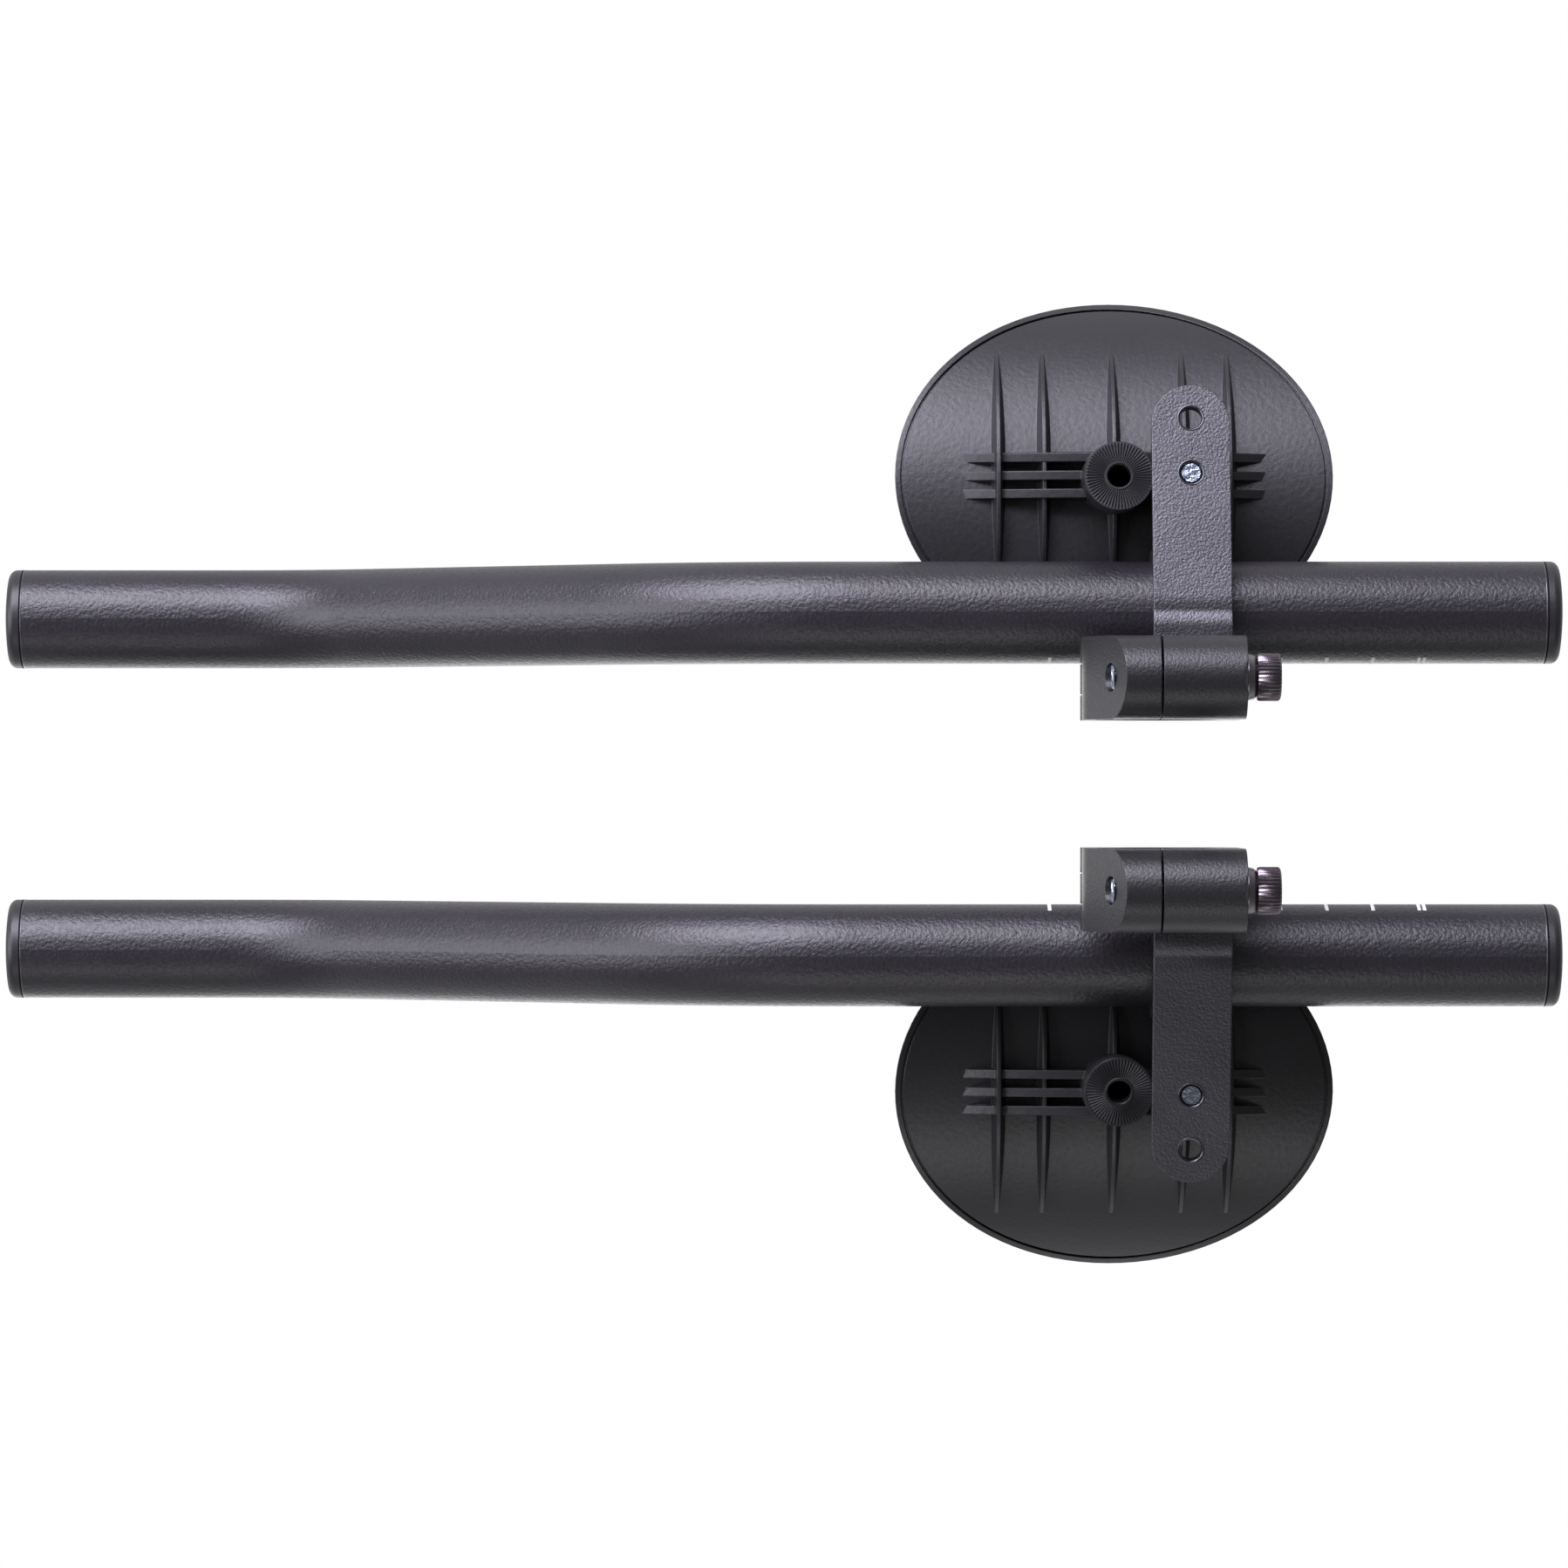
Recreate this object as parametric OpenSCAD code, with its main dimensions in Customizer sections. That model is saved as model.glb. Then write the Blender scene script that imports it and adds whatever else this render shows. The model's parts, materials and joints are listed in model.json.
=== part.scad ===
/* [Extension tubes] */
// Outer diameter of an extension tube
tube_d = 22.2; // [21:0.1:24]
// Wall of an extension tube
tube_wall = 1.8; // [1.4:0.1:2.4]
// Distance between the two tube axes
tube_spacing = 74.4; // [72:0.2:84]
// Where the tube's rear end lies behind the base bar axis
tube_back = 85.6; // [60:0.2:110]
// Where the rear bend's corner lies ahead of the base bar axis
rear_bend_x = 92; // [80:0.5:110]
// Where the front bend's corner lies ahead of the base bar axis
front_bend_x = 187.5; // [170:0.5:220]
// Where the tube's front end lies ahead of the base bar axis
tube_front = 250.6; // [230:0.2:300]
// Slope of the ramp between the bends, with a sine of 0.5376
slope = 32.5204; // [20:0.5:34]
// Bend radius of the rear bend
rear_bend_r = 90; // [70:1:110]
// Bend radius of the front bend
front_bend_r = 55; // [40:1:70]

/* [End caps] */
// Length of a cap's head outside the tube
cap_head = 4; // [3:0.1:8]
// Rounding at the edge of the head
cap_round = 1.8; // [0.6:0.1:2.6]
// Height of the dome on the head
cap_dome = 0.7; // [0.3:0.1:1.5]
// Length of the plug inside the tube
cap_plug = 12; // [8:0.5:20]

/* [Base bar clamps] */
// Diameter of the base bar that the clamps grip
bar_d = 26; // [24:0.2:28]
// Width of a clamp along the base bar
clamp_w = 17.6; // [15:0.1:20]
// Distance between the middles of the two clamps
clamp_spacing = 44.8; // [42:0.2:46]
// Wall of the jaws in front of the base bar
jaw_wall = 2.8; // [2.2:0.1:4]
// Wall of the jaws over the base bar
top_wall = 2.8; // [2.4:0.1:4]
// Reach of the rear jaw behind the base bar axis
rear_reach = 17.8; // [16.5:0.1:22]
// Drop of the barrel below the base bar axis
barrel_drop = 26.8; // [26:0.1:30]
// Front end of the barrel's underside, ahead of the base bar axis
nose_x = 7.6; // [5:0.1:10]
// Slit between the two jaws
slit = 0.5; // [0.3:0.1:1.5]
// Bevel along the barrel's rear edge
jaw_bevel = 0.8; // [0.4:0.1:1.5]

/* [Clamp hinge] */
// Diameter of the hinge pin
hinge_pin_d = 3.5; // [3:0.1:4]
// Outer diameter of the hinge knuckles
knuckle_d = 7.2; // [6.4:0.1:8]
// Width of the middle knuckle
knuckle_w = 6.4; // [5:0.1:8]
// Angle of the hinge above the front of the base bar
hinge_a = 45; // [40:1:48]

/* [Bolts] */
// Thread diameter of the pinch bolt
pinch_d = 6; // [5:0.5:6]
// Head diameter of the pinch bolt
pinch_head_d = 10; // [8.5:0.1:11]
// Head height of the pinch bolt
pinch_head_h = 5; // [4:0.1:6.5]
// Thickness of the domed washer under the pinch bolt's head
pinch_washer_t = 2.3; // [1.5:0.1:3]
// Thread diameter of the stack bolts and cup bolts
bolt_d = 5; // [4:0.5:5]
// Head diameter of the stack bolts and cup bolts
bolt_head_d = 8.5; // [7:0.1:9]
// Head height of the stack bolts and cup bolts
bolt_head_h = 5; // [4:0.1:5.5]
// Diameter of the flat washers
washer_d = 10; // [9:0.1:10.4]
// Thickness of the flat washers
washer_t = 1; // [0.8:0.1:1.4]

/* [Extension clamps] */
// Wall of the ring around an extension tube
ring_wall = 2.4; // [2:0.1:2.8]
// Length of the ring along the tube
ring_l = 16.5; // [14:0.1:17]
// Metal between the tube and the bracket
ring_floor = 2.7; // [2.6:0.1:3.5]
// Gap that the stack bolt closes
pinch_gap = 1.5; // [1:0.1:2]
// Thickness of the upper ear
ear_t = 5; // [4:0.1:6]

/* [Brackets] */
// Thickness of a bracket
plate_t = 3; // [2.5:0.1:4]
// Width of a bracket
plate_w = 16.9; // [16:0.1:18]
// Place of a bracket's middle line along the extensions
plate_x = -8.8; // [-9.2:0.1:-8.4]
// Angle of the joggle beside the clamp
joggle_a = 28; // [20:1:30]
// Middle radius of the joggle's two bends
joggle_r = 4; // [3.5:0.1:5]
// Flat land between the joggle and the incline
land_run = 0.8; // [0.4:0.1:2]
// Angle at which the bracket rises outwards
incline = 12.5; // [10:0.5:14]
// Middle radius of the bend into the incline
incline_r = 8; // [6:0.5:12]
// Run of the incline to its first hole
first_hole = 27.4; // [26:0.1:29]
// Distance between the two holes
hole_step = 12.2; // [11:0.1:14]
// Length past the second hole
end_margin = 7.4; // [7:0.1:9]

/* [Arm cups] */
// Length of a cup along the extensions
cup_l = 96.2; // [84:0.2:110]
// Width of a cup across the extensions
cup_w = 79.2; // [76:0.2:81]
// Distance from the handlebar's middle to the cup's middle
cup_y = 67.6; // [67:0.1:70]
// Radius of the underside across the extensions
cup_r = 62; // [60:0.5:66]
// Distance from the handlebar's middle to the cup's lowest line
cup_low_y = 55; // [54:0.1:57]
// Room between the extension clamp's top and the cup's lowest line
cup_lift = 4; // [0.5:0.1:5]
// Thickness of a cup
cup_t = 2.5; // [2:0.1:3]
// Distance of the rim line from the edge
rim_w = 1.2; // [0.8:0.1:3]
// Width of the rim line
rim_line = 0.5; // [0.3:0.1:1.2]
// Depth of the rim line
rim_depth = 0.5; // [0.3:0.1:0.8]
// Diameter of the two bosses
boss_d = 15; // [13.5:0.1:16]
// Distance between the two bosses
boss_step = 15.4; // [15:0.1:17]
// Height of the bolt seat inside a boss
seat_h = 3.5; // [3:0.1:5]

/* [Cup ribs] */
// Thickness of the cross ribs along their crests
cross_rib_edge = 0.8; // [0.5:0.1:1.2]
// Thickness of the cross ribs at their foot
cross_rib_t = 3; // [1.6:0.1:3.6]
// Height of the cross ribs
cross_rib_h = 4.6; // [2:0.1:6]
// Half length of the cross ribs
cross_rib_run = 26.5; // [20:0.5:29]
// Distance from the handlebar's middle to the cross ribs' middle
cross_rib_y = 71; // [70:0.5:73]
// Place of the outer cross ribs, from the front boss
outer_rib_x = 25.4; // [22:0.1:30]
// Thickness of the long ribs at their foot
long_rib_t = 2.9; // [2.2:0.1:3.2]
// Thickness of the long ribs along their crests
long_rib_edge = 1.9; // [0.8:0.1:2]
// Height of the long ribs
long_rib_h = 6.6; // [3:0.1:7]
// Half length of the long ribs
long_rib_run = 32.9; // [28:0.1:38]
// Distance between the long ribs
long_rib_step = 4; // [3:0.1:5]

/* [Arm pads] */
// Thickness of a pad
pad_t = 5; // [3:0.5:6]
// Margin of bare cup around a pad
pad_margin = 3; // [1.5:0.1:5]

/* [Fits] */
// Radial clearance of a part that turns or slides in another
run_clear = 0.06; // [0.03:0.01:0.09]
// Radial clearance of a bolt in its thread
thread_clear = 0.05; // [0.02:0.01:0.08]
// Radial clearance of a bolt in a plain hole
bolt_clear = 0.25; // [0.2:0.05:0.4]
// Gap beside and around the hinge knuckles
hinge_gap = 0.25; // [0.2:0.05:0.4]

/* [Hidden] */
$fn = 96;

// Reach of the cutting shapes, past everything that they cut
far = 200;
// Overlap of a cut past the face that it opens
over = 1;

// Clamps
bar_r = bar_d / 2;
collar_r = bar_r + jaw_wall;
pad_z = bar_r + top_wall;
clamp_y = clamp_spacing / 2;
barrel_r = clamp_w / 2;
barrel_z = barrel_r - barrel_drop;
pinch_r = pinch_d / 2;
pinch_seat_x = -rear_reach - pinch_washer_t;
// The barrel's front face is the tangent from its underside to the collar
nose_a = atan2(barrel_drop, nose_x) - acos(collar_r / norm([nose_x, barrel_drop]));
nose_slope = (collar_r * cos(nose_a) - nose_x) / (barrel_drop - collar_r * sin(nose_a));
// The pinch bolt ends a little inside the barrel's front face
pinch_tip_x = nose_x + nose_slope * barrel_r - 1.2;
knuckle_r = knuckle_d / 2;
hinge_reach = bar_r + 2 * hinge_gap + knuckle_r;
pad_front = 4;
shoulder = 4;

// Brackets and extension clamps
bolt_r = bolt_d / 2;
washer_r = washer_d / 2;
tube_r = tube_d / 2;
tube_y = tube_spacing / 2;
tube_z = pad_z + plate_t + ring_floor + tube_r;
ring_r = tube_r + ring_wall;
ring_top = tube_z + ring_r - 1;
ear_top = tube_z + pinch_gap / 2 + ear_t;
plate_start = clamp_y - barrel_r + 0.2;
// The joggle starts beneath the extension, a little short of its axis
joggle_lead = 3.3;
flat_run = tube_y - joggle_lead - plate_start;
stack_x = plate_x - 2.2;
stack_y = plate_start + washer_r + 0.1;
stack_tip_z = sqrt(bar_r * bar_r - pow(stack_x + bolt_r, 2)) + 1;
foot_slope = incline + 5.5;
// Straight pieces in each bend of the bracket
bend_steps = 8;
// Start of the bend into the incline, in the bracket's side view
land_y = flat_run + 2 * joggle_r * sin(joggle_a) + land_run;
land_z = 2 * joggle_r * (1 - cos(joggle_a));
hole_2_run = incline_r * sin(incline) + (first_hole + hole_step) * cos(incline);
bracket_end = plate_start + land_y + hole_2_run + end_margin;

// Middle of the first hole on the bracket's top
boss_y = plate_start + land_y + incline_r * sin(incline) + first_hole * cos(incline) - plate_t / 2 * sin(incline);
// The cup bolt leans inside its upright pocket, so the pocket is shifted and wider
bolt_lean = (seat_h + washer_t + bolt_head_h) * sin(incline);
pocket_shift = bolt_lean / 2;
pocket_r = max(bolt_head_d / 2, washer_r - seat_h * sin(incline)) + pocket_shift + bolt_clear;

// Cups
cup_low_z = ring_top + cup_lift;
cup_axis_z = cup_low_z + cup_r;
cup_x = plate_x + boss_step;
cross_rib_r = crescent_r(cross_rib_run, cross_rib_h + arc_depth(cup_r, cross_rib_run));
long_rib_r = crescent_r(long_rib_run, long_rib_h);

// Radius of the circle that bulges by h over a half chord c
function crescent_r(c, h) = (c * c + h * h) / (2 * h);
// Bulge of a circle of radius r over a half chord c
function arc_depth(r, c) = r - sqrt(r * r - c * c);

// Run of a path along +Y, with the child as its section
module straight(run) {
    rotate([-90, 0, 0]) linear_extrude(run) rotate(90) children();
}

// Bend of a round bar upwards: a ring cut by the planes at its two ends
module bend_up(bend_r, a, r) {
    intersection() {
        translate([0, 0, bend_r]) rotate([0, 90, 0]) rotate_extrude() translate([bend_r, 0]) circle(r);
        translate([-far, 0, bend_r - 2 * far]) cube(2 * far);
        after_up(bend_r, a) translate([-far, -2 * far, bend_r - 2 * far]) cube(2 * far);
    }
}

// What follows a bend upwards
module after_up(r, a) {
    translate([0, 0, r]) rotate([a, 0, 0]) translate([0, 0, -r]) children();
}

// What follows a bend downwards
module after_down(r, a) {
    translate([0, 0, -r]) rotate([-a, 0, 0]) translate([0, 0, r]) children();
}

// Outline in X and Z, given a width along Y
module across(w) {
    rotate([90, 0, 0]) translate([0, 0, -w / 2]) linear_extrude(w) children();
}

// Outline in Y and Z, given a length along X
module lengthwise(l) {
    rotate([90, 0, 90]) translate([0, 0, -l / 2]) linear_extrude(l) children();
}

// The other side's copy of a part
module other_side() {
    mirror([0, 1, 0]) children();
}

// Socket head bolt along +Z, with its seat at the origin
module socket_bolt(r, run, head_r, head_h, socket) {
    edge = 0.5;
    difference() {
        union() {
            cylinder(r = r, h = run - edge);
            translate([0, 0, run - edge]) cylinder(r1 = r, r2 = r - edge, h = edge);
            translate([0, 0, edge - head_h]) cylinder(r = head_r, h = head_h - edge);
            translate([0, 0, -head_h]) cylinder(r1 = head_r - edge, r2 = head_r, h = edge);
        }
        translate([0, 0, -head_h - over]) cylinder(d = socket / cos(30), h = head_h * 0.6 + over, $fn = 6);
    }
}

// Flat washer along +Z
module flat_washer() {
    difference() {
        cylinder(r = washer_r, h = washer_t);
        translate([0, 0, -over]) cylinder(r = bolt_r + bolt_clear, h = washer_t + 2 * over);
    }
}

// Side view of the closed clamp, in X and Z
module clamp_outline() {
    difference() {
        union() {
            circle(collar_r);
            polygon([
                [-rear_reach, jaw_bevel - barrel_drop],
                [jaw_bevel - rear_reach, -barrel_drop],
                [nose_x, -barrel_drop],
                [collar_r * cos(nose_a), -collar_r * sin(nose_a)],
                [0, 0],
                [pad_front, pad_z],
                [shoulder - rear_reach, pad_z],
                [-rear_reach, pad_z - shoulder]
            ]);
        }
        circle(bar_r);
    }
}

// Round underside and flat flanks that both jaws share
module jaw_envelope() {
    lengthwise(far) union() {
        translate([0, barrel_z]) circle(barrel_r);
        translate([-barrel_r, barrel_z]) square([clamp_w, far]);
    }
}

// Jaw cut from the closed clamp by the child's region
module jaw_blank() {
    intersection() {
        across(clamp_w) intersection() {
            clamp_outline();
            children();
        }
        jaw_envelope();
    }
}

// Place of the hinge in the clamp's side view
module at_hinge() {
    translate(hinge_reach * [cos(hinge_a), sin(hinge_a)]) children();
}

// Hole for the hinge pin
module hinge_hole() {
    across(clamp_w + 2 * over) at_hinge() circle(hinge_pin_d / 2 + run_clear);
}

module front_jaw() {
    side_w = (clamp_w - knuckle_w) / 2 + over;
    color("#2b2b2d") translate([0, clamp_y, 0]) difference() {
        union() {
            jaw_blank() polygon([
                [slit / 2, -far],
                [slit / 2, 0],
                far * [cos(hinge_a - 3), sin(hinge_a - 3)],
                [far, -far]
            ]);
            across(knuckle_w) at_hinge() circle(knuckle_r);
        }
        for (s = [-1, 1]) translate([0, s * (knuckle_w + side_w) / 2, 0])
            across(side_w) at_hinge() circle(knuckle_r + hinge_gap);
        hinge_hole();
        translate([0, 0, barrel_z]) rotate([0, 90, 0]) cylinder(r = pinch_r + thread_clear, h = far);
    }
}

module rear_jaw() {
    side_w = (clamp_w - knuckle_w) / 2 - hinge_gap;
    color("#2b2b2d") translate([0, clamp_y, 0]) difference() {
        union() {
            jaw_blank() polygon([
                [-slit / 2, -far],
                [-slit / 2, 0],
                far * [cos(hinge_a + 3), sin(hinge_a + 3)],
                [-far, far],
                [-far, -far]
            ]);
            for (s = [-1, 1]) translate([0, s * (clamp_w - side_w) / 2, 0])
                across(side_w) at_hinge() circle(knuckle_r);
        }
        across(knuckle_w + 2 * hinge_gap) at_hinge() circle(knuckle_r + hinge_gap);
        hinge_hole();
        translate([-far, 0, barrel_z]) rotate([0, 90, 0]) cylinder(r = pinch_r + bolt_clear, h = far);
        translate([stack_x, stack_y - clamp_y, stack_tip_z - 0.3]) cylinder(r = bolt_r + thread_clear, h = far);
    }
}

module hinge_pin() {
    color("#8f9296") translate([0, clamp_y, 0])
        across(clamp_w - 0.4) at_hinge() circle(hinge_pin_d / 2);
}

module pinch_bolt() {
    color("#8a6f66") translate([pinch_seat_x, clamp_y, barrel_z]) rotate([0, 90, 0])
        socket_bolt(pinch_r, pinch_tip_x - pinch_seat_x, pinch_head_d / 2, pinch_head_h, 5);
}

module pinch_washer() {
    r = pinch_head_d / 2;
    color("#77706c") translate([-rear_reach, clamp_y, barrel_z]) rotate([0, -90, 0]) rotate_extrude() polygon([
        [pinch_r + bolt_clear, 0],
        [r, 0],
        [r, 0.2 * pinch_washer_t],
        [r - 0.3, 0.7 * pinch_washer_t],
        [r - 0.9, pinch_washer_t],
        [pinch_r + bolt_clear, pinch_washer_t]
    ]);
}

// Frame at the start of the incline, on the bracket's middle line
module at_incline() {
    translate([plate_x, plate_start + flat_run, pad_z + plate_t / 2])
        after_up(joggle_r, joggle_a) after_down(joggle_r, joggle_a)
            translate([0, land_run, 0]) after_up(incline_r, incline) children();
}

// Frame on the bracket's top at its first hole
module at_cup_bolt() {
    at_incline() translate([0, first_hole, plate_t / 2]) children();
}

// Side view of the bracket at a height d over its middle line
function bracket_line(d) = concat(
    [[0, d]],
    [for (k = [0 : bend_steps]) let(a = joggle_a * k / bend_steps)
        [flat_run, joggle_r] + (joggle_r - d) * [sin(a), -cos(a)]],
    [for (k = [bend_steps : -1 : 0]) let(a = joggle_a * k / bend_steps)
        [flat_run, joggle_r] + 2 * joggle_r * [sin(joggle_a), -cos(joggle_a)] + (joggle_r + d) * [-sin(a), cos(a)]],
    [for (k = [0 : bend_steps]) let(a = incline * k / bend_steps)
        [land_y, land_z + incline_r] + (incline_r - d) * [sin(a), -cos(a)]],
    [[land_y, land_z + incline_r] + incline_r * [sin(incline), -cos(incline)]
        + far / 2 * [cos(incline), sin(incline)] + d * [-sin(incline), cos(incline)]]
);

function backwards(points) = [for (k = [len(points) - 1 : -1 : 0]) points[k]];

module bracket() {
    color("#4a4a4c") difference() {
        intersection() {
            translate([plate_x, plate_start, pad_z + plate_t / 2]) lengthwise(plate_w)
                polygon(concat(bracket_line(-plate_t / 2), backwards(bracket_line(plate_t / 2))));
            linear_extrude(far) union() {
                translate([plate_x - plate_w / 2, 0]) square([plate_w, bracket_end - plate_w / 2]);
                translate([plate_x, bracket_end - plate_w / 2]) circle(d = plate_w);
            }
        }
        translate([stack_x, stack_y, 0]) cylinder(r = bolt_r + bolt_clear, h = far);
        at_incline() for (hole = [0, hole_step]) translate([0, first_hole + hole, -plate_t])
            cylinder(r = bolt_r + thread_clear, h = 2 * plate_t);
    }
}

module extension_clamp() {
    foot_z = pad_z + plate_t;
    flat_end = plate_start + flat_run - 0.3;
    color("#2f2f31") difference() {
        translate([plate_x, 0, 0]) lengthwise(ring_l) difference() {
            union() {
                translate([tube_y, tube_z]) circle(ring_r);
                translate([plate_start, foot_z]) square([tube_y - plate_start, ear_top - foot_z]);
            }
            translate([tube_y, tube_z]) circle(tube_r + run_clear);
            translate([plate_start - over, tube_z - pinch_gap / 2])
                square([tube_y - plate_start + over, pinch_gap]);
            translate([0, foot_z - far]) square([far, far]);
            translate([0, ring_top]) square([far, far]);
            translate([flat_end, foot_z]) rotate(foot_slope) translate([-over, -far]) square([far, far]);
        }
        translate([stack_x, stack_y, 0]) cylinder(r = bolt_r + bolt_clear, h = far);
    }
}

module stack_bolt() {
    seat_z = ear_top + washer_t;
    color("#77706c") translate([stack_x, stack_y, seat_z]) rotate([180, 0, 0])
        socket_bolt(bolt_r, seat_z - stack_tip_z, bolt_head_d / 2, bolt_head_h, 4);
}

module stack_washer() {
    color("#8f9296") translate([stack_x, stack_y, ear_top]) flat_washer();
}

// Lengths along the tube between its bends
rear_cut = rear_bend_r * tan(slope / 2);
front_cut = front_bend_r * tan(slope / 2);
rear_run = tube_back + rear_bend_x - rear_cut;
ramp_run = (front_bend_x - rear_bend_x) / cos(slope) - rear_cut - front_cut;
front_run = tube_front - front_bend_x - front_cut;
tube_rise = (front_bend_x - rear_bend_x) * tan(slope);

// Round bar of radius r that follows the tube and runs past its ends by extra
module tube_path(r, extra) {
    translate([0, -extra, 0]) straight(rear_run + extra) circle(r);
    translate([0, rear_run, 0]) {
        bend_up(rear_bend_r, slope, r);
        after_up(rear_bend_r, slope) {
            straight(ramp_run) circle(r);
            translate([0, ramp_run, 0]) {
                mirror([0, 0, 1]) bend_up(front_bend_r, slope, r);
                after_down(front_bend_r, slope) straight(front_run + extra) circle(r);
            }
        }
    }
}

module extension_tube() {
    color("#2d2c30") translate([-tube_back, tube_y, tube_z]) rotate([0, 0, -90]) difference() {
        union() tube_path(tube_r, 0);
        union() tube_path(tube_r - tube_wall, over);
    }
}

// End cap along +Z, with its seat on the tube's end at the origin
module end_cap() {
    dome_r = crescent_r(tube_r - cap_round, cap_dome);
    rim_z = cap_head - cap_dome;
    intersection() {
        rotate_extrude() union() {
            difference() {
                translate([0, -cap_plug]) square([tube_r - tube_wall - thread_clear, cap_plug]);
                translate([-over, -cap_plug - over]) square([tube_r - 2 * tube_wall - thread_clear + over, cap_plug]);
            }
            square([tube_r, rim_z - cap_round]);
            translate([0, rim_z - cap_round]) square([tube_r - cap_round, cap_round + cap_dome]);
            intersection() {
                translate([tube_r - cap_round, rim_z - cap_round]) circle(cap_round);
                translate([0, rim_z - cap_round]) square([tube_r, cap_round]);
            }
        }
        translate([0, 0, cap_head - dome_r]) sphere(r = dome_r, $fn = 192);
    }
}

module front_cap() {
    color("#1d1d1f") translate([tube_front, tube_y, tube_z + tube_rise]) rotate([0, 90, 0]) end_cap();
}

module rear_cap() {
    color("#1d1d1f") translate([-tube_back, tube_y, tube_z]) rotate([0, -90, 0]) end_cap();
}

// Upright prism over an ellipse, inset from the cup's outline
module cup_prism(inset) {
    a = cup_l / 2 - inset;
    b = cup_w / 2 - inset;
    translate([cup_x, cup_y, 0]) linear_extrude(far)
        polygon([for (t = [0 : 3.75 : 359]) [a * cos(t), b * sin(t)]]);
}

// Solid bar along the cup's axis
module cup_bar(r) {
    translate([cup_x, cup_low_y, cup_axis_z]) rotate([0, 90, 0]) cylinder(r = r, h = far, center = true, $fn = 192);
}

// Disc with a sloped edge, which stands out of the cup's underside as a rib
module rib_disc(r, h, edge, foot) {
    rotate_extrude() polygon([
        [0, -foot / 2],
        [r - h, -foot / 2],
        [r, -edge / 2],
        [r, edge / 2],
        [r - h, foot / 2],
        [0, foot / 2]
    ]);
}

module cross_rib(x) {
    y = cross_rib_y;
    z = cup_axis_z - sqrt(cup_r * cup_r - pow(y - cup_low_y, 2));
    lean = asin((y - cup_low_y) / cup_r);
    translate([cup_x + x, y, z]) rotate([lean, 0, 0]) translate([0, 0, cross_rib_r - cross_rib_h])
        rotate([0, 90, 0]) rib_disc(cross_rib_r, cross_rib_h, cross_rib_edge, cross_rib_t);
}

module long_rib(y) {
    z = cup_axis_z - sqrt(cup_r * cup_r - pow(cup_y + y - cup_low_y, 2));
    translate([cup_x, cup_y + y, z - long_rib_h + long_rib_r]) rotate([90, 0, 0])
        rib_disc(long_rib_r, long_rib_h, long_rib_edge, long_rib_t);
}

// Upright column over a boss, from a height over the bracket's top
module over_bracket(x, y, r, height) {
    intersection() {
        translate([plate_x + x, y, 0]) cylinder(r = r, h = far);
        at_cup_bolt() translate([-far, -far, height]) cube(2 * far);
    }
}

module arm_cup() {
    color("#232325") difference() {
        union() {
            intersection() {
                cup_prism(0);
                difference() {
                    cup_bar(cup_r);
                    translate([-over, 0, 0]) cup_bar(cup_r - cup_t);
                }
                translate([-far, -far, 0]) cube([2 * far, 2 * far, cup_axis_z]);
            }
            difference() {
                union() {
                    for (x = [-outer_rib_x, -boss_step, 0, boss_step, outer_rib_x]) cross_rib(x);
                    for (k = [-1, 0, 1]) long_rib(k * long_rib_step);
                    for (x = [0, boss_step]) over_bracket(x, boss_y, boss_d / 2, 0);
                }
                cup_bar(cup_r - cup_t / 2);
                translate([-far, -far, cup_axis_z - cup_r / 2]) cube([2 * far, 2 * far, far]);
            }
        }
        at_cup_bolt() for (x = [0, boss_step]) translate([x, 0, -over])
            cylinder(r = bolt_r + run_clear, h = seat_h + 2 * over);
        for (x = [0, boss_step]) over_bracket(x, boss_y - pocket_shift, pocket_r, seat_h);
        difference() {
            cup_prism(rim_w);
            cup_prism(rim_w + rim_line);
            cup_bar(cup_r - rim_depth);
        }
    }
}

module arm_pad() {
    color("#1a1a1b") intersection() {
        cup_prism(pad_margin);
        difference() {
            cup_bar(cup_r - cup_t - 0.1);
            cup_bar(cup_r - cup_t - pad_t);
        }
        translate([-far, -far, 0]) cube([2 * far, 2 * far, cup_axis_z]);
    }
}

module cup_bolt() {
    seat = seat_h + washer_t;
    color("#9aa4b2") at_cup_bolt() translate([0, 0, seat]) rotate([180, 0, 0])
        socket_bolt(bolt_r, seat + plate_t - 0.4, bolt_head_d / 2, bolt_head_h, 4);
}

module cup_washer() {
    color("#8f9296") at_cup_bolt() translate([0, 0, seat_h]) flat_washer();
}

front_jaw();  // left_front_jaw
rear_jaw();  // left_rear_jaw
hinge_pin();  // left_hinge_pin
pinch_bolt();  // left_pinch_bolt
pinch_washer();  // left_pinch_washer
bracket();  // left_bracket
extension_clamp();  // left_extension_clamp
stack_bolt();  // left_stack_bolt
stack_washer();  // left_stack_washer
extension_tube();  // left_extension_tube
front_cap();  // left_front_cap
rear_cap();  // left_rear_cap
arm_cup();  // left_arm_cup
arm_pad();  // left_arm_pad
cup_bolt();  // left_cup_bolt
cup_washer();  // left_cup_washer
other_side() front_jaw();  // right_front_jaw
other_side() rear_jaw();  // right_rear_jaw
other_side() hinge_pin();  // right_hinge_pin
other_side() pinch_bolt();  // right_pinch_bolt
other_side() pinch_washer();  // right_pinch_washer
other_side() bracket();  // right_bracket
other_side() extension_clamp();  // right_extension_clamp
other_side() stack_bolt();  // right_stack_bolt
other_side() stack_washer();  // right_stack_washer
other_side() extension_tube();  // right_extension_tube
other_side() front_cap();  // right_front_cap
other_side() rear_cap();  // right_rear_cap
other_side() arm_cup();  // right_arm_cup
other_side() arm_pad();  // right_arm_pad
other_side() cup_bolt();  // right_cup_bolt
other_side() cup_washer();  // right_cup_washer
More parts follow.
